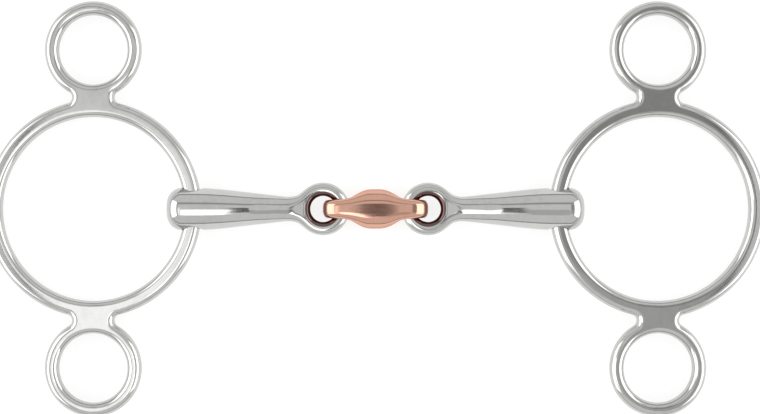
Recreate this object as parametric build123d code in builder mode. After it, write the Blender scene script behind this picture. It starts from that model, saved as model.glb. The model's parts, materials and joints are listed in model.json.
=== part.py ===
from build123d import *

import os
from math import asin, atan2, cos, degrees, hypot, isclose, sin, sqrt

# A three-ring gag bit with a double-jointed mouthpiece, lying flat.
# X runs along the mouthpiece, +Y is towards the upper (bridle) rings, and Z = 0 is the surface that it
# lies on, with the origin under the middle of the lozenge. Lengths are in millimetres.

# Cheek casting: one main ring with a small ring above it and another below it
CASTING_THICKNESS = 6.0
MAIN_INNER_RADIUS = 33.15
MAIN_BAND = 6.15
MAIN_EDGE_RADIUS = 2.4
SMALL_INNER_RADIUS = 12.5
SMALL_BAND = 5.1
SMALL_EDGE_RADIUS = 2.0
RING_SPACING = 57.4
NOTCH_RADIUS = 2.15
WEB_EDGE_RADIUS = 1.0

# Mouthpiece arm, measured along its own axis from the centre of its eye
ARM_END_RADIUS = 7.65
ARM_LENGTH = 56.2
END_CORNER_RADIUS = 5.4
TAPER_END = 41.0
NECK_RADIUS = 4.35
NECK_START = 12.7
FLARE_RADIUS = 5.5
FLARE_HALF_THICKNESS = 2.2
RING_HOLE_FROM_EYE = 47.1
RING_HOLE_RADIUS = 4.0
RING_MOUTH_START = 5.8
RING_MOUTH_RADIUS = 2.2

# Eye at the inner end of each arm
EYE_MID_RADIUS = 7.07
EYE_WIRE_RADIUS = 2.45

# Copper lozenge between the eyes: an upright plate with oval ends, and a round spindle through its middle
LOZENGE_HALF_LENGTH = 19.2
LOZENGE_HALF_HEIGHT = 6.7
LOZENGE_FLAT_HALF_LENGTH = 8.0
PLATE_HALF_WIDTH = 3.2
PLATE_EDGE_RADIUS = 1.8
SPINDLE_HALF_WIDTH = 7.1
SPINDLE_HALF_HEIGHT = 6.4
SPINDLE_SHOULDER = (7.6, 5.1)
SPINDLE_END = (13.5, 2.7)
LOOP_HOLE_RADIUS = 3.3
LOOP_MOUTH_RADIUS = 1.3

# Where the pieces sit on each other
LOOP_HOLE_X = 12.2
EYE_X = 18.88
RING_SEAT_OFFSET = 0.25
RUNNING_CLEARANCE = 0.1
HOLE_CUT_HALF_LENGTH = 9.0

SIDES = {"left": -1, "right": 1}
ENDS = {"upper": 1, "lower": -1}

AXIS_HEIGHT = ARM_END_RADIUS
MAIN_OUTER_RADIUS = MAIN_INNER_RADIUS + MAIN_BAND
MAIN_MID_RADIUS = MAIN_INNER_RADIUS + MAIN_BAND / 2
SMALL_OUTER_RADIUS = SMALL_INNER_RADIUS + SMALL_BAND
SMALL_MID_RADIUS = SMALL_INNER_RADIUS + SMALL_BAND / 2


def lying_tilt():
    """Angle at which a cheek, held by its arm, lies with the far side of its main ring on the surface."""
    across = 2 * MAIN_MID_RADIUS - RING_SEAT_OFFSET + MAIN_BAND / 2 - MAIN_EDGE_RADIUS
    up = CASTING_THICKNESS / 2 - MAIN_EDGE_RADIUS
    drop = AXIS_HEIGHT - MAIN_EDGE_RADIUS
    return asin(drop / hypot(across, up)) - atan2(up, across)


TILT = lying_tilt()


def cheek_plane(side):
    """Mid-plane of a cheek, at the centre of its main ring."""
    reach = MAIN_MID_RADIUS - RING_SEAT_OFFSET
    centre_x = side * (EYE_X + RING_HOLE_FROM_EYE + reach * cos(TILT))
    centre_z = AXIS_HEIGHT - reach * sin(TILT)
    return Plane(
        origin=(centre_x, 0, centre_z),
        x_dir=(cos(TILT), 0, -side * sin(TILT)),
        z_dir=(side * sin(TILT), 0, cos(TILT)),
    )


def section_plane(plane, offset_y=0):
    """Plane through a ring's centre that holds its axis as local Y, for drawing the ring's section."""
    return Plane(
        origin=plane.from_local_coords((0, offset_y, 0)),
        x_dir=plane.x_dir,
        z_dir=-plane.y_dir,
    )


def ring_axis(plane):
    return Axis(plane.origin, plane.y_dir)


def eye_plane(side):
    """Plane of an arm's eye, at its centre, with local X pointing outwards along the arm."""
    return Plane(origin=(side * EYE_X, 0, AXIS_HEIGHT), x_dir=(side, 0, 0), z_dir=(0, 0, 1))


def make_main_ring(side):
    section = section_plane(cheek_plane(side))
    with BuildPart() as ring:
        with BuildSketch(section):
            with Locations((MAIN_MID_RADIUS, 0)):
                RectangleRounded(MAIN_BAND, CASTING_THICKNESS, MAIN_EDGE_RADIUS)
        revolve(axis=ring_axis(section))
    return ring.part


def notch_centre():
    """Centre of the notch that touches the main ring and a small ring from outside."""
    from_main = MAIN_OUTER_RADIUS + NOTCH_RADIUS
    from_small = SMALL_OUTER_RADIUS + NOTCH_RADIUS
    along = (RING_SPACING**2 + from_main**2 - from_small**2) / (2 * RING_SPACING)
    return sqrt(from_main**2 - along**2), along


def make_small_ring(side, end):
    """A small ring with the web that joins it to the main ring."""
    plane = cheek_plane(side)
    small_section = section_plane(plane, end * RING_SPACING)
    main_section = section_plane(plane)
    notch_x, notch_y = notch_centre()
    web_start = MAIN_MID_RADIUS
    web_end = notch_y + NOTCH_RADIUS
    with BuildPart() as ring:
        with BuildSketch(plane):
            with Locations((0, end * (web_start + web_end) / 2)):
                Rectangle(2 * notch_x, web_end - web_start)
            with Locations((-notch_x, end * notch_y), (notch_x, end * notch_y)):
                Circle(NOTCH_RADIUS, mode=Mode.SUBTRACT)
            with Locations((0, end * RING_SPACING)):
                Circle(SMALL_MID_RADIUS, mode=Mode.SUBTRACT)
        extrude(amount=CASTING_THICKNESS / 2, both=True)
        web_sides = ring.faces().filter_by(GeomType.CYLINDER).filter_by(
            lambda face: isclose(face.radius, NOTCH_RADIUS)
        )
        fillet(web_sides.edges().filter_by(GeomType.CIRCLE), WEB_EDGE_RADIUS)
        with BuildSketch(small_section):
            with Locations((SMALL_MID_RADIUS, 0)):
                RectangleRounded(SMALL_BAND, CASTING_THICKNESS, SMALL_EDGE_RADIUS)
        revolve(axis=ring_axis(small_section))
        with BuildSketch(main_section):
            with Locations((MAIN_MID_RADIUS, 0)):
                RectangleRounded(
                    MAIN_BAND + 2 * RUNNING_CLEARANCE,
                    CASTING_THICKNESS + 2 * RUNNING_CLEARANCE,
                    MAIN_EDGE_RADIUS + RUNNING_CLEARANCE,
                )
        revolve(axis=ring_axis(main_section), mode=Mode.SUBTRACT)
    return ring.part


def make_eye(side):
    """The round loop that the lozenge hangs on."""
    section = section_plane(eye_plane(side))
    with BuildPart() as eye:
        with BuildSketch(section):
            with Locations((EYE_MID_RADIUS, 0)):
                Circle(EYE_WIRE_RADIUS)
        revolve(axis=ring_axis(section))
    return eye.part


def flared_hole(centre, radius, mouth_start, mouth_radius, half_length):
    """Solid of a hole along Y, straight up to its rounded mouths and wide beyond them."""
    section = Plane(centre)
    with BuildPart() as hole:
        with BuildSketch(section):
            with BuildLine():
                Line((0, 0), (radius, 0))
                Line((radius, 0), (radius, mouth_start))
                mouth = CenterArc((radius + mouth_radius, mouth_start), mouth_radius, 180, -90)
                Line(mouth @ 1, (radius + mouth_radius, half_length))
                Line((radius + mouth_radius, half_length), (0, half_length))
                Line((0, half_length), (0, 0))
            make_face()
            mirror(about=Plane(section.origin, z_dir=section.y_dir))
        revolve(axis=Axis(section.origin, section.y_dir))
    return hole.part


def make_arm(side):
    """A tapered arm, with a cross hole for the main ring and an inner end that runs round the eye."""
    plane = eye_plane(side)
    section = section_plane(plane)
    flare_y = NECK_RADIUS + FLARE_RADIUS
    flare_x = sqrt((EYE_MID_RADIUS + EYE_WIRE_RADIUS + FLARE_RADIUS) ** 2 - flare_y**2)
    flare_angle = degrees(atan2(flare_x, flare_y))
    ring_hole = flared_hole(
        plane.from_local_coords((RING_HOLE_FROM_EYE, 0, 0)),
        RING_HOLE_RADIUS, RING_MOUTH_START, RING_MOUTH_RADIUS, HOLE_CUT_HALF_LENGTH,
    )
    with BuildPart() as arm:
        with BuildSketch(plane):
            with BuildLine():
                Line((NECK_START - NECK_RADIUS, 0), (ARM_LENGTH, 0))
                Line((ARM_LENGTH, 0), (ARM_LENGTH, ARM_END_RADIUS - END_CORNER_RADIUS))
                end_corner = CenterArc(
                    (ARM_LENGTH - END_CORNER_RADIUS, ARM_END_RADIUS - END_CORNER_RADIUS),
                    END_CORNER_RADIUS, 0, 90,
                )
                Line(end_corner @ 1, (TAPER_END, ARM_END_RADIUS))
                Line((TAPER_END, ARM_END_RADIUS), (NECK_START, NECK_RADIUS))
                CenterArc((NECK_START, 0), NECK_RADIUS, 90, 90)
            make_face()
        revolve(axis=Axis(plane.origin, plane.x_dir))
        with BuildSketch(plane):
            with BuildLine():
                flare = CenterArc((flare_x, flare_y), FLARE_RADIUS, -90, -flare_angle)
                Line(flare @ 1, (EYE_MID_RADIUS, 0))
                Line((EYE_MID_RADIUS, 0), (flare_x, 0))
                Line((flare_x, 0), flare @ 0)
            make_face()
            mirror(about=Plane(plane.origin, z_dir=plane.y_dir))
        extrude(amount=FLARE_HALF_THICKNESS, both=True)
        with BuildSketch(section):
            with Locations((EYE_MID_RADIUS, 0)):
                Circle(EYE_WIRE_RADIUS + RUNNING_CLEARANCE)
        revolve(axis=ring_axis(section), mode=Mode.SUBTRACT)
        add(ring_hole, mode=Mode.SUBTRACT)
    return arm.part


def make_lozenge():
    """An upright plate with a cross hole near each oval end, swollen to a spindle in the middle."""
    centre = (0, 0, AXIS_HEIGHT)
    loop_mouth_start = PLATE_HALF_WIDTH - LOOP_MOUTH_RADIUS
    with BuildPart() as spindle:
        with BuildSketch():
            with BuildLine():
                swell = Spline(
                    (0, SPINDLE_HALF_WIDTH), SPINDLE_SHOULDER, SPINDLE_END, tangents=((1, 0), (1, 0))
                )
                Line(swell @ 1, (SPINDLE_END[0], 0))
                Line((SPINDLE_END[0], 0), (0, 0))
                Line((0, 0), swell @ 0)
            make_face()
            mirror(about=Plane.YZ)
        revolve(axis=Axis.X)
        scale(by=(1, 1, SPINDLE_HALF_HEIGHT / SPINDLE_HALF_WIDTH))
    with BuildPart() as lozenge:
        with BuildSketch(Plane(centre, x_dir=(1, 0, 0), z_dir=(0, -1, 0))):
            Rectangle(2 * LOZENGE_FLAT_HALF_LENGTH, 2 * LOZENGE_HALF_HEIGHT)
            with Locations((-LOZENGE_FLAT_HALF_LENGTH, 0), (LOZENGE_FLAT_HALF_LENGTH, 0)):
                Ellipse(LOZENGE_HALF_LENGTH - LOZENGE_FLAT_HALF_LENGTH, LOZENGE_HALF_HEIGHT)
        extrude(amount=PLATE_HALF_WIDTH, both=True)
        fillet(lozenge.faces().filter_by(Axis.Y).edges(), PLATE_EDGE_RADIUS)
        with Locations(centre):
            add(spindle.part)
        for side in SIDES.values():
            loop_hole = flared_hole(
                (side * LOOP_HOLE_X, 0, AXIS_HEIGHT),
                LOOP_HOLE_RADIUS, loop_mouth_start, LOOP_MOUTH_RADIUS, HOLE_CUT_HALF_LENGTH,
            )
            add(loop_hole, mode=Mode.SUBTRACT)
    return lozenge.part


def save(part, name):
    part.label = name
    export_step(part, f"parts/{name}.step")


os.makedirs("parts", exist_ok=True)
save(make_lozenge(), "centre_lozenge")
for side_name, side in SIDES.items():
    save(make_eye(side), f"{side_name}_arm_eye")
    save(make_arm(side), f"{side_name}_arm")
    save(make_main_ring(side), f"{side_name}_main_ring")
    for end_name, end in ENDS.items():
        save(make_small_ring(side, end), f"{side_name}_{end_name}_ring")
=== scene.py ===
import json
import math

import bpy
import numpy as np
from mathutils import Matrix, Vector


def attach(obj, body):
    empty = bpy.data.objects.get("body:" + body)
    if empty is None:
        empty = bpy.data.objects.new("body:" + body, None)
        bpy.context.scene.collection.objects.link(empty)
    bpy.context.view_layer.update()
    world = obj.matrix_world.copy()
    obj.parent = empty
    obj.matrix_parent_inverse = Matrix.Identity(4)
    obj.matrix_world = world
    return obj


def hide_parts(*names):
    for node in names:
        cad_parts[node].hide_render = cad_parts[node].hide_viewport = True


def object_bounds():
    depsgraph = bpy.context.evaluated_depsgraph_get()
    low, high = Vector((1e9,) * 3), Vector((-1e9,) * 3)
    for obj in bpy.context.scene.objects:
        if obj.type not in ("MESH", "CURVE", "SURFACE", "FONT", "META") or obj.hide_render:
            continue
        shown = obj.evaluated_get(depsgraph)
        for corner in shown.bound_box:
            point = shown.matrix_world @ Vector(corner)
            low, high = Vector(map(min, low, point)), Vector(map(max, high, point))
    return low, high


# Looks for a three-ring gag bit. Each casting is one seamless polished piece: a signed distance field
# describes its shape, and a mesh is drawn on the surface where that distance is zero.

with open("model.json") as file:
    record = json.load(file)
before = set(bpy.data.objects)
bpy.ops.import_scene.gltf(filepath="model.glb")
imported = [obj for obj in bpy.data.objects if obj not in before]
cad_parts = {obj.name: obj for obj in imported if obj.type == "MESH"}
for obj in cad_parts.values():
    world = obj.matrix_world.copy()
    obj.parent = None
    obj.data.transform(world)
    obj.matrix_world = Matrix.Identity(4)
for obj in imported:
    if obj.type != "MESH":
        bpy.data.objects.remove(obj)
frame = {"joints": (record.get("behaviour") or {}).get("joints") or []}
cad_low, cad_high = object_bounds()

MM = 0.001

# Cheek casting
CASTING_THICKNESS = 6.0 * MM
MAIN_INNER_RADIUS = 33.15 * MM
MAIN_BAND = 6.15 * MM
SMALL_INNER_RADIUS = 12.5 * MM
SMALL_BAND = 5.1 * MM
RING_SPACING = 57.4 * MM
NOTCH_RADIUS = 2.15 * MM
CHEEK_EDGE_RADIUS = 2.3 * MM
CROWN = 0.35 * MM
CROWN_REACH = 1.2

# Mouthpiece arm, measured along its own axis from the centre of its eye
ARM_END_RADIUS = 7.65 * MM
ARM_LENGTH = 56.2 * MM
END_CORNER_RADIUS = 5.4 * MM
TAPER_END = 41.0 * MM
TAPER_BLEND = 1.2 * MM
NECK_RADIUS = 4.35 * MM
NECK_START = 12.7 * MM
NECK_TIP = 6.4 * MM
NECK_TIP_RADIUS = 4.263 * MM
NECK_FLATNESS = 0.5
FLAT_START = 26.0 * MM
FLAT_END = 6.5 * MM
RING_HOLE_RADIUS = 3.85 * MM
RING_HOLE_MOUTH = 0.5 * MM
EYE_MID_RADIUS = 7.07 * MM
EYE_WIRE_RADIUS = 2.45 * MM
EYE_INNER_RADIUS = EYE_MID_RADIUS - EYE_WIRE_RADIUS
EYE_BLEND = 6.5 * MM
EYE_EDGE_BLEND = 0.4 * MM
EYE_TOP = 2.52 * MM
EYE_TOP_SLOPE = 0.11
EYE_TOP_CURVE = 4.0

# Copper lozenge: a spindle seen from above, and a long oval seen from the side
LOZENGE_HALF_LENGTH = 19.2 * MM
LOZENGE_HALF_HEIGHT = 6.7 * MM
SPINDLE_MIDDLE_HALF_WIDTH = 7.1 * MM
SPINDLE_END_HALF_WIDTH = 3.05 * MM
SPINDLE_SPREAD = 7.5 * MM
SPINDLE_POWER = 3.4
SIDE_OVAL_POWER = 6
TINY = 1e-9
TIP_CORNER_RADIUS = 2.6 * MM
TIP_OVERRUN = 1.0 * MM
MIDDLE_EDGE_RADIUS = 5.5 * MM
END_EDGE_RADIUS = 2.1 * MM
LOOP_HOLE_RADIUS = 3.3 * MM
LOOP_EDGE_RADIUS = 1.3 * MM
LOOP_INNER_EDGE_RADIUS = 3.4 * MM

# Finish of the metals. Each noise has cycles per metre, detail, roughness and, if needed, a stretch.
SMEARS = (90, 4, 0.6)
GRIME = (420, 5, 0.65)
WAVES = (55, 1, 0.4)
LONG_SCRATCHES = (900, 3, 0.7, (1, 14, 5))
CROSS_SCRATCHES = (800, 3, 0.7, (12, 1, 6))
WAVE_WEIGHT = 30.0
GRIME_LEVELS = (0.15, 0.42)
GRIME_STRENGTH = 0.35
ROUGHNESS_LEVELS = (0.2, 0.75)
ROUGHNESS_RISE = 0.06
BUMP_STRENGTH = 0.25
STEEL_ROUGHNESS = 0.045
STEEL_SCRATCH_DEPTH = 0.008 * MM
COPPER_ROUGHNESS = 0.07
COPPER_SCRATCH_DEPTH = 0.01 * MM
STEEL_COLOUR = (0.56, 0.56, 0.55, 1)
STEEL_GRIME = (0.44, 0.44, 0.43, 1)
COPPER_COLOUR = (0.68, 0.395, 0.30, 1)
COPPER_GRIME = (0.54, 0.29, 0.215, 1)
COPPER_EDGE_TINT = (0.8, 0.62, 0.55, 1)
WHITE = (1, 1, 1, 1)
BLACK = (0, 0, 0, 1)

# Copper rub on the wall of each eye with a painted reflection of the copper and painted shade there,
# tarnish in the lozenge's loops, and painted shade on its tips
RUB_AND_PAINTED_REFLECTION_COLOUR = (0.12, 0.068, 0.066, 1)
RUB_AND_PAINTED_REFLECTION_STRENGTH = 0.95
RUB_AND_PAINTED_REFLECTION_START = 1.6 * MM
RUB_AND_PAINTED_REFLECTION_END = 1.95 * MM
# Colour of the loops' tarnish and of the painted shade on the lozenge's tips
TARNISH_AND_PAINTED_SHADE_COLOUR = (0.17, 0.07, 0.048, 1)
LOOP_TARNISH = 0.7
LOOP_TARNISH_WIDTH = 1.2 * MM
# Painted shade on the lozenge's tips, standing in for the dark reflections on their steep ends
TIP_PAINTED_SHADE = 0.95
TIP_PAINTED_SHADE_START = 2.1 * MM
TIP_PAINTED_SHADE_END = 1.4 * MM
# How much the loops' tarnish and the painted shade on the tips take off the metal
TARNISH_AND_PAINTED_SHADE_DULLNESS = 0.8
COPPER_SPECULAR = 0.15

# Mesh fineness
CHEEK_CELL = 0.42 * MM
ARM_CELL = 0.4 * MM
LOZENGE_CELL = 0.28 * MM
GRADIENT_STEP = 0.005 * MM
LEAST_SLOPE = 0.05
PROJECT_ROUNDS = 4
RELAX_ROUNDS = 4

# Studio: a pale light tent. Each side light is a soft rectangle on a plane one unit away, facing the bit.
SKY_COLOUR = (1.0, 1.0, 0.99, 1)
SKY_BRIGHTNESS = 0.87
HORIZON_BRIGHTNESS = 0.38
HORIZON_TOP = 0.2
LIGHT_TILT = 62
LIGHT_BRIGHTNESS = 1.6
LIGHT_EDGES = (-0.47, 0.47, -0.72, 0.72)
LIGHT_SOFTNESS = 0.04
RIM_DARKNESS = 0.55
RIM_EDGES = (-0.60, -0.50, -0.80, 0.80)
RIM_SOFTNESS = 0.02
LEAST_AHEAD = 0.02

# Top of the tent, and its lamps and gaps: low and high x, low and high y, softness and brightness
OVERHEAD_HEIGHT = 0.28
OVERHEAD_HALF_SIZE = (0.21, 0.26)
OVERHEAD_PATCHES = (
    (-0.24, 0.24, 0.13, 0.19, 0.018, 0.42),
    (-0.25, -0.115, -0.18, 0.03, 0.040, 1.6),
    (0.115, 0.22, -0.03, 0.12, 0.010, 0.37),
    (0.115, 0.22, -0.14, -0.03, 0.010, 0.54),
    (-0.10, -0.011, -0.185, -0.022, 0.003, 2.6),
    (0.013, 0.10, -0.185, -0.022, 0.003, 0.62),
    (-0.009, 0.011, -0.120, 0.035, 0.002, 0.13),
    (-0.21, -0.200, -0.26, 0.26, 0.001, 0.15),
    (0.200, 0.21, -0.26, 0.26, 0.001, 0.15),
)

# Table that the bit lies on: a glowing white sheet
TABLE_GLOW = 0.8
TABLE_DARKENING = 0.65
TABLE_SHADES = ((0.90, 0.90, 0.90, 1), (0.92, 0.92, 0.92, 1))
TABLE_NOISE_SCALE = 3
TABLE_HALF_SIZE = 6.0
TABLE_GAP = 0.02 * MM

# Camera straight above the bit
CAMERA_LENS = 107.2
CAMERA_SENSOR = 36
CAMERA_X = 0.0016
CAMERA_Y = 0.0007
CAMERA_ABOVE_AXIS = 0.815

SIDES = ("left", "right")
JOINTS = {joint["name"]: joint for joint in frame["joints"]}


def length2(a, b):
    return np.sqrt(a * a + b * b)


def union(a, b, width):
    """Join of two distances, with a soft fillet of about that width in the corner between them."""
    closeness = np.maximum(width - np.abs(a - b), 0) / width
    return np.minimum(a, b) - closeness**3 * width / 6


def common(a, b, width):
    return -union(-a, -b, width)


def round_edge(a, b, radius):
    """What lies inside both distances, with the edge between them rounded to a true radius."""
    outside = length2(np.maximum(a + radius, 0), np.maximum(b + radius, 0))
    return outside + np.minimum(np.maximum(a, b) + radius, 0) - radius


def notch_centre():
    """Centre of the notch that touches the main ring and a small ring from outside."""
    from_main = MAIN_INNER_RADIUS + MAIN_BAND + NOTCH_RADIUS
    from_small = SMALL_INNER_RADIUS + SMALL_BAND + NOTCH_RADIUS
    along = (RING_SPACING**2 + from_main**2 - from_small**2) / (2 * RING_SPACING)
    return math.sqrt(from_main**2 - along**2), along


def cheek_distance(p):
    """The cheek about the centre of its main ring, with Z along the ring's axis."""
    x, y, z = np.abs(p[:, 0]), np.abs(p[:, 1]), np.abs(p[:, 2])
    notch_x, notch_y = notch_centre()
    from_main = length2(x, y)
    from_small = length2(x, y - RING_SPACING)
    main_edge = from_main - MAIN_INNER_RADIUS - MAIN_BAND
    small_edge = from_small - SMALL_INNER_RADIUS - SMALL_BAND
    beside_main = x * notch_y - y * notch_x < 0
    beside_small = x * (notch_y - RING_SPACING) - (y - RING_SPACING) * notch_x > 0
    notch = NOTCH_RADIUS - length2(x - notch_x, y - notch_y)
    outline = np.where(beside_main & beside_small, notch, np.minimum(main_edge, small_edge))
    main_hole = MAIN_INNER_RADIUS - from_main
    small_hole = SMALL_INNER_RADIUS - from_small
    plate = np.maximum(outline, np.maximum(main_hole, small_hole))
    shoulder = np.clip(1 + plate / (SMALL_BAND / 2), 0, CROWN_REACH)
    height = CASTING_THICKNESS / 2 - CROWN * shoulder**2
    return round_edge(plate, z - height, CHEEK_EDGE_RADIUS)


def arm_distance(p):
    """The arm about the centre of its eye, with X outwards along the arm and Y along the ring hole."""
    x, y, z = p[:, 0], p[:, 1], p[:, 2]
    near_eye = np.clip((FLAT_START - x) / (FLAT_START - FLAT_END), 0, 1)
    flatness = 1 + NECK_FLATNESS * near_eye**2 * (3 - 2 * near_eye)
    radius = length2(y, z * flatness)
    slope = (ARM_END_RADIUS - NECK_RADIUS) / (TAPER_END - NECK_START)
    cone = (radius - NECK_RADIUS - slope * (x - NECK_START)) / math.hypot(1, slope)
    side = common(cone, radius - ARM_END_RADIUS, TAPER_BLEND)
    bar = round_edge(side, x - ARM_LENGTH, END_CORNER_RADIUS)
    bar = round_edge(bar, NECK_TIP - x, NECK_TIP_RADIUS)
    from_eye = length2(x, y)
    eye = length2(from_eye - EYE_MID_RADIUS, z) - EYE_WIRE_RADIUS
    whole = union(bar, eye, EYE_BLEND)
    whole = common(whole, EYE_INNER_RADIUS - from_eye, EYE_EDGE_BLEND)
    beyond = np.maximum(from_eye - EYE_MID_RADIUS, 0)
    top = EYE_TOP + EYE_TOP_SLOPE * beyond + EYE_TOP_CURVE * beyond**2
    whole = common(whole, np.abs(z) - top, EYE_EDGE_BLEND)
    hole = RING_HOLE_RADIUS - length2(x - RING_HOLE_FROM_EYE, z)
    return common(whole, hole, RING_HOLE_MOUTH)


def lozenge_distance(p):
    """The lozenge about its middle, with X along the mouthpiece and Y along the loops' holes."""
    x, y, z = np.abs(p[:, 0]), np.abs(p[:, 1]), np.abs(p[:, 2])
    swell = 1 / (1 + (x / SPINDLE_SPREAD) ** SPINDLE_POWER)
    half_width = SPINDLE_END_HALF_WIDTH + (SPINDLE_MIDDLE_HALF_WIDTH - SPINDLE_END_HALF_WIDTH) * swell
    plan = round_edge(y - half_width, x - LOZENGE_HALF_LENGTH - TIP_OVERRUN, TIP_CORNER_RADIUS)
    along = x / LOZENGE_HALF_LENGTH
    up = z / LOZENGE_HALF_HEIGHT
    oval = np.sqrt(along**SIDE_OVAL_POWER + up**2) + TINY
    slope_x = SIDE_OVAL_POWER / 2 * along ** (SIDE_OVAL_POWER - 1) / LOZENGE_HALF_LENGTH
    slope_z = up / LOZENGE_HALF_HEIGHT
    steepness = np.maximum(length2(slope_x, slope_z) / oval, 1 / LOZENGE_HALF_LENGTH)
    side = (oval - 1) / steepness
    edge = END_EDGE_RADIUS + (MIDDLE_EDGE_RADIUS - END_EDGE_RADIUS) * swell
    whole = round_edge(plan, side, edge)
    inward = np.clip((LOOP_X - x) / LOOP_HOLE_RADIUS, 0, 1)
    mouth = LOOP_EDGE_RADIUS + (LOOP_INNER_EDGE_RADIUS - LOOP_EDGE_RADIUS) * inward
    return round_edge(whole, LOOP_HOLE_RADIUS - length2(x - LOOP_X, z), mouth)


def gradient(distance, p):
    parts = []
    for axis in range(3):
        step = np.zeros(3)
        step[axis] = GRADIENT_STEP
        parts.append((distance(p + step) - distance(p - step)) / (2 * GRADIENT_STEP))
    return np.stack(parts, 1)


def onto_surface(distance, p, rounds, reach):
    """Points moved along the distance's slope until they lie on the surface."""
    for _ in range(rounds):
        slope = gradient(distance, p)
        steepness = np.maximum((slope**2).sum(1), LEAST_SLOPE)
        move = distance(p)[:, None] * slope / steepness[:, None]
        p = p - np.clip(move, -reach, reach)
    return p


def relaxed(p, quads):
    """Each point moved half way to the middle of its neighbours."""
    ends = np.concatenate([quads[:, [i, (i + 1) % 4]] for i in range(4)])
    ends = np.concatenate([ends, ends[:, ::-1]])
    count = np.bincount(ends[:, 0], minlength=len(p))
    total = np.stack([np.bincount(ends[:, 0], p[ends[:, 1], i], len(p)) for i in range(3)], 1)
    return (p + total / count[:, None]) / 2


def surface_net(distance, low, high, cell):
    """Points and quads of the surface where distance is zero, with a point in each cell that it crosses."""
    lines = [np.arange(a - 2 * cell, b + 3 * cell, cell) for a, b in zip(low, high)]
    shape = tuple(len(line) for line in lines)
    grid = np.stack(np.meshgrid(*lines, indexing="ij"), -1).reshape(-1, 3)
    inside = (distance(grid) < 0).reshape(shape)
    corners = sum(
        inside[i:shape[0] - 1 + i, j:shape[1] - 1 + j, k:shape[2] - 1 + k].astype(np.int8)
        for i in (0, 1) for j in (0, 1) for k in (0, 1)
    )
    crossed = (corners > 0) & (corners < 8)
    number = np.full(crossed.shape, -1)
    number[crossed] = np.arange(crossed.sum())
    cells = np.argwhere(crossed)
    points = np.array([line[0] for line in lines]) + (cells + 0.5) * cell
    quads = []
    for axis in range(3):
        others = [(axis + 1) % 3, (axis + 2) % 3]
        here = np.moveaxis(inside, axis, 0)
        change = here[:-1] != here[1:]
        at = np.argwhere(np.moveaxis(change, 0, axis))
        starts_inside = inside[tuple(at.T)]
        ring = []
        for u, v in ((0, 0), (1, 0), (1, 1), (0, 1)):
            around = at.copy()
            around[:, others[0]] -= u
            around[:, others[1]] -= v
            ring.append(number[tuple(around.T)])
        ring = np.stack(ring, 1)
        ring[~starts_inside] = ring[~starts_inside][:, ::-1]
        quads.append(ring)
    return points, np.concatenate(quads)


def make_piece(name, distance, low, high, cell, place):
    """A seamless mesh of a distance field, moved to its place, with normals from the field itself."""
    points, quads = surface_net(distance, low, high, cell)
    points = onto_surface(distance, points, PROJECT_ROUNDS, cell)
    for _ in range(RELAX_ROUNDS):
        points = onto_surface(distance, relaxed(points, quads), PROJECT_ROUNDS // 2, cell)
    normals = gradient(distance, points)
    normals /= np.linalg.norm(normals, axis=1)[:, None]
    mesh = bpy.data.meshes.new(name)
    mesh.from_pydata(points.tolist(), [], quads.tolist())
    mesh.transform(place)
    mesh.shade_smooth()
    turned = normals @ np.array(place.to_3x3()).T
    mesh.normals_split_custom_set_from_vertices(turned.tolist())
    mesh.update()
    piece = bpy.data.objects.new(name, mesh)
    bpy.context.scene.collection.objects.link(piece)
    return piece


def plane_at(origin, x_axis, z_axis):
    """Matrix that puts a shape's own X and Z axes along two directions at a point."""
    z = Vector(z_axis).normalized()
    x = Vector(x_axis)
    x = (x - x.dot(z) * z).normalized()
    turn = Matrix((x, z.cross(x), z)).transposed()
    return Matrix.Translation(origin) @ turn.to_4x4()


def joint_at(side, name):
    return Vector(JOINTS[f"{side}_{name}"]["pos_m"])


LOOP_X = abs(joint_at("right", "fold").x)
AXIS_HEIGHT = joint_at("right", "fold").z
EYE_X = abs(joint_at("right", "tilt").x)
RING_HOLE_FROM_EYE = abs(joint_at("right", "swing").x) - EYE_X


def make_cheek(side):
    reach_x = MAIN_INNER_RADIUS + MAIN_BAND
    reach_y = RING_SPACING + SMALL_INNER_RADIUS + SMALL_BAND
    corner = np.array([reach_x, reach_y, CASTING_THICKNESS / 2])
    place = plane_at(joint_at(side, "slide"), (1, 0, 0), JOINTS[f"{side}_slide"]["axis"])
    piece = make_piece(f"{side}_cheek", cheek_distance, -corner, corner, CHEEK_CELL, place)
    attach(piece, f"{side}_ring_ends")
    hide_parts(f"{side}_main_ring", f"{side}_upper_ring", f"{side}_lower_ring")
    return piece


def make_arm(side):
    eye_reach = EYE_MID_RADIUS + EYE_WIRE_RADIUS
    low = np.array([-eye_reach, -eye_reach, -ARM_END_RADIUS])
    high = np.array([ARM_LENGTH, eye_reach, ARM_END_RADIUS])
    centre = joint_at(side, "tilt")
    place = plane_at(centre, (centre.x, 0, 0), (0, 0, 1))
    piece = make_piece(f"{side}_mouthpiece_arm", arm_distance, low, high, ARM_CELL, place)
    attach(piece, f"{side}_arm")
    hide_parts(f"{side}_arm", f"{side}_arm_eye")
    return piece


def make_lozenge():
    corner = np.array([LOZENGE_HALF_LENGTH, SPINDLE_MIDDLE_HALF_WIDTH, LOZENGE_HALF_HEIGHT])
    place = Matrix.Translation((0, 0, AXIS_HEIGHT))
    piece = make_piece("copper_lozenge", lozenge_distance, -corner, corner, LOZENGE_CELL, place)
    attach(piece, "lozenge")
    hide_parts("centre_lozenge")
    return piece


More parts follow.
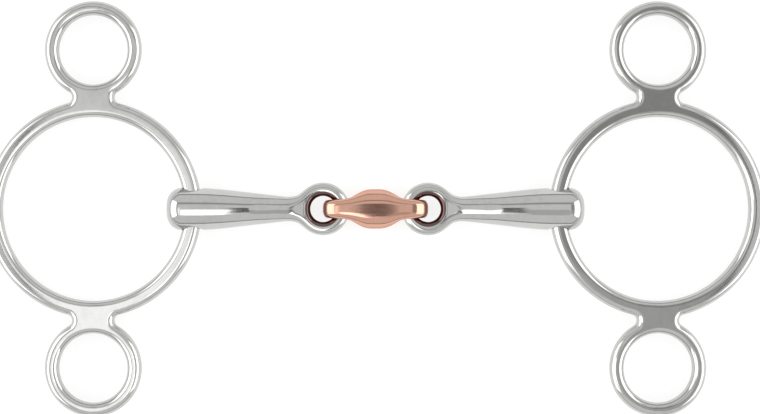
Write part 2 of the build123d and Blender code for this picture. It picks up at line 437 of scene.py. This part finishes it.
class Nodes:
    """Short calls for building one node tree."""

    def __init__(self, tree):
        self.tree = tree
        tree.nodes.clear()

    def add(self, kind, settings=None, **inputs):
        node = self.tree.nodes.new(kind)
        for name, value in (settings or {}).items():
            setattr(node, name, value)
        for name, value in inputs.items():
            self.put(node, name, value)
        return node

    def put(self, node, name, value):
        """Sets or links one input. Its name has _ for each space, or is i0, i1 and so on for its number."""
        key = int(name[1:]) if name[0] == "i" and name[1:].isdigit() else name.replace("_", " ")
        socket = node.inputs[key]
        if isinstance(value, bpy.types.NodeSocket):
            self.tree.links.new(value, socket)
        else:
            socket.default_value = value

    def math(self, operation, *values):
        node = self.tree.nodes.new("ShaderNodeMath")
        node.operation = operation
        for i, value in enumerate(values):
            self.put(node, f"i{i}", value)
        return node.outputs[0]

    def vector(self, operation, *values, output=0):
        node = self.tree.nodes.new("ShaderNodeVectorMath")
        node.operation = operation
        for i, value in enumerate(values):
            self.put(node, f"i{i}", value)
        return node.outputs[output]

    def ramp(self, value, low, high, to_low=0.0, to_high=1.0):
        node = self.add("ShaderNodeMapRange", {"interpolation_type": "SMOOTHSTEP"})
        for name, number in (
            ("Value", value), ("From Min", low), ("From Max", high), ("To Min", to_low), ("To Max", to_high)
        ):
            self.put(node, name, number)
        return node.outputs[0]

    def noise(self, position, scale, detail=2.0, roughness=0.5, stretch=(1, 1, 1)):
        stretched = self.vector("MULTIPLY", position, stretch)
        node = self.add(
            "ShaderNodeTexNoise", Scale=scale, Detail=detail, Roughness=roughness, Vector=stretched
        )
        return node.outputs["Fac"]

    def mix(self, factor, first, second):
        node = self.add("ShaderNodeMix", {"data_type": "RGBA"})
        self.put(node, "i0", factor)
        self.put(node, "i6", first)
        self.put(node, "i7", second)
        return node.outputs[2]


def polished_metal(name, colour, dark_colour, base_roughness, scratch_depth):
    """Polished metal with fine scratches, faint casting waves, smears and small colour changes."""
    material = bpy.data.materials.new(name)
    material.use_nodes = True
    nodes = Nodes(material.node_tree)
    position = nodes.add("ShaderNodeTexCoord").outputs["Object"]
    smear = nodes.noise(position, *SMEARS)
    grime = nodes.noise(position, *GRIME)
    tint = nodes.ramp(nodes.math("MULTIPLY", smear, grime), *GRIME_LEVELS)
    shade = nodes.mix(nodes.math("MULTIPLY", tint, GRIME_STRENGTH), colour, dark_colour)
    waves = nodes.noise(position, *WAVES)
    long_scratches = nodes.noise(position, *LONG_SCRATCHES)
    cross_scratches = nodes.noise(position, *CROSS_SCRATCHES)
    scratches = nodes.math("ADD", long_scratches, cross_scratches)
    height = nodes.math("ADD", nodes.math("MULTIPLY", waves, WAVE_WEIGHT), scratches)
    bump = nodes.add("ShaderNodeBump", Strength=BUMP_STRENGTH, Distance=scratch_depth, Height=height)
    smoothness = nodes.math("MULTIPLY", smear, scratches)
    rough = nodes.ramp(smoothness, *ROUGHNESS_LEVELS, base_roughness, base_roughness + ROUGHNESS_RISE)
    shader = nodes.add(
        "ShaderNodeBsdfPrincipled", Metallic=1.0, Base_Color=shade, Roughness=rough, Normal=bump.outputs[0]
    )
    output = nodes.add("ShaderNodeOutputMaterial")
    nodes.tree.links.new(shader.outputs[0], output.inputs["Surface"])
    return material, nodes, shader, position, shade


def distance_from(nodes, first, second):
    """Length of a flat vector given by its two parts."""
    flat = nodes.add("ShaderNodeCombineXYZ", X=first, Y=second)
    return nodes.vector("LENGTH", flat.outputs[0], output=1)


def steel_material():
    material, nodes, shader, position, shade = polished_metal(
        "polished_steel", STEEL_COLOUR, STEEL_GRIME, STEEL_ROUGHNESS, STEEL_SCRATCH_DEPTH
    )
    apart = nodes.add("ShaderNodeSeparateXYZ", Vector=position)
    along = nodes.math("SUBTRACT", nodes.math("ABSOLUTE", apart.outputs[0]), EYE_X)
    from_eye = distance_from(nodes, along, apart.outputs[1])
    # Copper rub on the eye's inner wall, together with a painted reflection of the copper lozenge and
    # painted shade: a dark brown ring in the colour and in the specular tint
    rubbed_and_painted_reflection = nodes.ramp(
        from_eye, EYE_INNER_RADIUS + RUB_AND_PAINTED_REFLECTION_START, EYE_INNER_RADIUS + RUB_AND_PAINTED_REFLECTION_END, RUB_AND_PAINTED_REFLECTION_STRENGTH, 0.0
    )
    nodes.put(shader, "Base_Color", nodes.mix(rubbed_and_painted_reflection, shade, RUB_AND_PAINTED_REFLECTION_COLOUR))
    nodes.put(shader, "Specular_Tint", nodes.mix(rubbed_and_painted_reflection, WHITE, RUB_AND_PAINTED_REFLECTION_COLOUR))
    return material


def copper_material():
    material, nodes, shader, position, shade = polished_metal(
        "polished_copper", COPPER_COLOUR, COPPER_GRIME, COPPER_ROUGHNESS, COPPER_SCRATCH_DEPTH
    )
    apart = nodes.add("ShaderNodeSeparateXYZ", Vector=position)
    from_middle = nodes.math("ABSOLUTE", apart.outputs[0])
    along = nodes.math("SUBTRACT", from_middle, LOOP_X)
    up = nodes.math("SUBTRACT", apart.outputs[2], AXIS_HEIGHT)
    from_loop = distance_from(nodes, along, up)
    loop_end = LOOP_HOLE_RADIUS + LOOP_TARNISH_WIDTH
    in_loop = nodes.ramp(from_loop, LOOP_HOLE_RADIUS, loop_end, LOOP_TARNISH, 0.0)
    # Painted shade on the lozenge's tips: a dark brown band on the steep ends, standing in for their dark
    # reflections
    tip_start = LOZENGE_HALF_LENGTH - TIP_PAINTED_SHADE_START
    tip_end = LOZENGE_HALF_LENGTH - TIP_PAINTED_SHADE_END
    painted_shade_on_tip = nodes.ramp(from_middle, tip_start, tip_end, 0.0, TIP_PAINTED_SHADE)
    # Tarnish in the loops and the painted shade on the tips darken the colour and specular tint and make
    # the copper less metallic
    tarnish_and_painted_shade = nodes.math("MAXIMUM", in_loop, painted_shade_on_tip)
    dulled = nodes.math("MULTIPLY", tarnish_and_painted_shade, TARNISH_AND_PAINTED_SHADE_DULLNESS)
    nodes.put(shader, "Base_Color", nodes.mix(tarnish_and_painted_shade, shade, TARNISH_AND_PAINTED_SHADE_COLOUR))
    nodes.put(shader, "Specular_Tint", nodes.mix(tarnish_and_painted_shade, COPPER_EDGE_TINT, TARNISH_AND_PAINTED_SHADE_COLOUR))
    nodes.put(shader, "Metallic", nodes.math("SUBTRACT", 1.0, dulled))
    nodes.put(shader, "Specular_IOR_Level", COPPER_SPECULAR)
    return material


def flat_sheet(name, half_x, half_y, height, material):
    corners = [(-half_x, -half_y, 0), (half_x, -half_y, 0), (half_x, half_y, 0), (-half_x, half_y, 0)]
    mesh = bpy.data.meshes.new(name)
    mesh.from_pydata(corners, [], [(0, 1, 2, 3)])
    mesh.materials.append(material)
    sheet = bpy.data.objects.new(name, mesh)
    sheet.location.z = height
    bpy.context.scene.collection.objects.link(sheet)
    return sheet


def make_floor():
    material = bpy.data.materials.new("pale_floor")
    material.use_nodes = True
    nodes = Nodes(material.node_tree)
    position = nodes.add("ShaderNodeTexCoord").outputs["Object"]
    shade = nodes.mix(nodes.noise(position, TABLE_NOISE_SCALE), *TABLE_SHADES)
    glow = nodes.add("ShaderNodeEmission", Color=shade, Strength=TABLE_GLOW)
    matt = nodes.add("ShaderNodeBsdfDiffuse", Color=nodes.mix(TABLE_DARKENING, shade, BLACK))
    shader = nodes.tree.nodes.new("ShaderNodeAddShader")
    nodes.tree.links.new(glow.outputs[0], shader.inputs[0])
    nodes.tree.links.new(matt.outputs[0], shader.inputs[1])
    output = nodes.add("ShaderNodeOutputMaterial")
    nodes.tree.links.new(shader.outputs[0], output.inputs["Surface"])
    floor = flat_sheet("floor", TABLE_HALF_SIZE, TABLE_HALF_SIZE, cad_low.z - TABLE_GAP, material)


def soft_rectangle(nodes, u, v, low_u, high_u, low_v, high_v, soft):
    """How far a point (u, v) lies in a rectangle whose edges are soft over twice the given width."""
    inside = []
    for value, low, high in ((u, low_u, high_u), (v, low_v, high_v)):
        inside.append(nodes.ramp(value, low - soft, low + soft))
        inside.append(nodes.ramp(value, high - soft, high + soft, 1.0, 0.0))
    product = inside[0]
    for factor in inside[1:]:
        product = nodes.math("MULTIPLY", product, factor)
    return product


def side_light(nodes, direction, side):
    """Change of the sky's brightness by the soft light on one side, with a dark rim on its upper edge."""
    angle = math.radians(LIGHT_TILT)
    towards = (side * math.sin(angle), 0, math.cos(angle))
    down = (side * math.cos(angle), 0, -math.sin(angle))
    ahead = nodes.vector("DOT_PRODUCT", direction, towards, output=1)
    safe = nodes.math("MAXIMUM", ahead, LEAST_AHEAD)
    u = nodes.math("DIVIDE", nodes.vector("DOT_PRODUCT", direction, down, output=1), safe)
    v = nodes.math("DIVIDE", nodes.vector("DOT_PRODUCT", direction, (0, 1, 0), output=1), safe)
    light = soft_rectangle(nodes, u, v, *LIGHT_EDGES, LIGHT_SOFTNESS)
    rim = soft_rectangle(nodes, u, v, *RIM_EDGES, RIM_SOFTNESS)
    gain = nodes.math("MULTIPLY", light, LIGHT_BRIGHTNESS)
    loss = nodes.math("MULTIPLY", rim, RIM_DARKNESS)
    in_front = nodes.math("GREATER_THAN", ahead, LEAST_AHEAD)
    return nodes.math("MULTIPLY", nodes.math("SUBTRACT", gain, loss), in_front)


def make_sky():
    """A pale light tent with a soft light on the left and on the right."""
    world = bpy.data.worlds.new("studio")
    bpy.context.scene.world = world
    world.use_nodes = True
    nodes = Nodes(world.node_tree)
    direction = nodes.add("ShaderNodeTexCoord").outputs["Generated"]
    lights = nodes.math("ADD", side_light(nodes, direction, -1), side_light(nodes, direction, 1))
    height = nodes.vector("DOT_PRODUCT", direction, (0, 0, 1), output=1)
    sky = nodes.ramp(height, HORIZON_TOP / 3, HORIZON_TOP, HORIZON_BRIGHTNESS, SKY_BRIGHTNESS)
    brightness = nodes.math("ADD", sky, lights)
    background = nodes.add("ShaderNodeBackground", Color=SKY_COLOUR, Strength=brightness)
    output = nodes.add("ShaderNodeOutputWorld")
    nodes.tree.links.new(background.outputs[0], output.inputs["Surface"])


def make_overhead():
    """The top of the tent close above the bit, with its lamps and gaps. Only polished metal shows it."""
    material = bpy.data.materials.new("overhead")
    material.use_nodes = True
    nodes = Nodes(material.node_tree)
    position = nodes.add("ShaderNodeTexCoord").outputs["Object"]
    apart = nodes.add("ShaderNodeSeparateXYZ", Vector=position)
    x, y = apart.outputs[0], apart.outputs[1]
    brightness = SKY_BRIGHTNESS
    for low_x, high_x, low_y, high_y, soft, to in OVERHEAD_PATCHES:
        patch = soft_rectangle(nodes, x, y, low_x, high_x, low_y, high_y, soft)
        change = nodes.math("MULTIPLY", patch, nodes.math("SUBTRACT", to, brightness))
        brightness = nodes.math("ADD", brightness, change)
    shader = nodes.add("ShaderNodeEmission", Strength=brightness)
    output = nodes.add("ShaderNodeOutputMaterial")
    nodes.tree.links.new(shader.outputs[0], output.inputs["Surface"])
    overhead = flat_sheet("overhead", *OVERHEAD_HALF_SIZE, OVERHEAD_HEIGHT, material)
    overhead.visible_camera = False
    overhead.visible_diffuse = False
    overhead.visible_shadow = False


def make_camera():
    camera_data = bpy.data.cameras.new("camera")
    camera_data.lens = CAMERA_LENS
    camera_data.sensor_width = CAMERA_SENSOR
    camera = bpy.data.objects.new("camera", camera_data)
    camera.location = (CAMERA_X, CAMERA_Y, AXIS_HEIGHT + CAMERA_ABOVE_AXIS)
    bpy.context.scene.collection.objects.link(camera)
    bpy.context.scene.camera = camera


steel = steel_material()
for side in SIDES:
    make_cheek(side).data.materials.append(steel)
    make_arm(side).data.materials.append(steel)
make_lozenge().data.materials.append(copper_material())
make_floor()
make_sky()
make_overhead()
make_camera()
bpy.context.scene.view_settings.view_transform = "Standard"
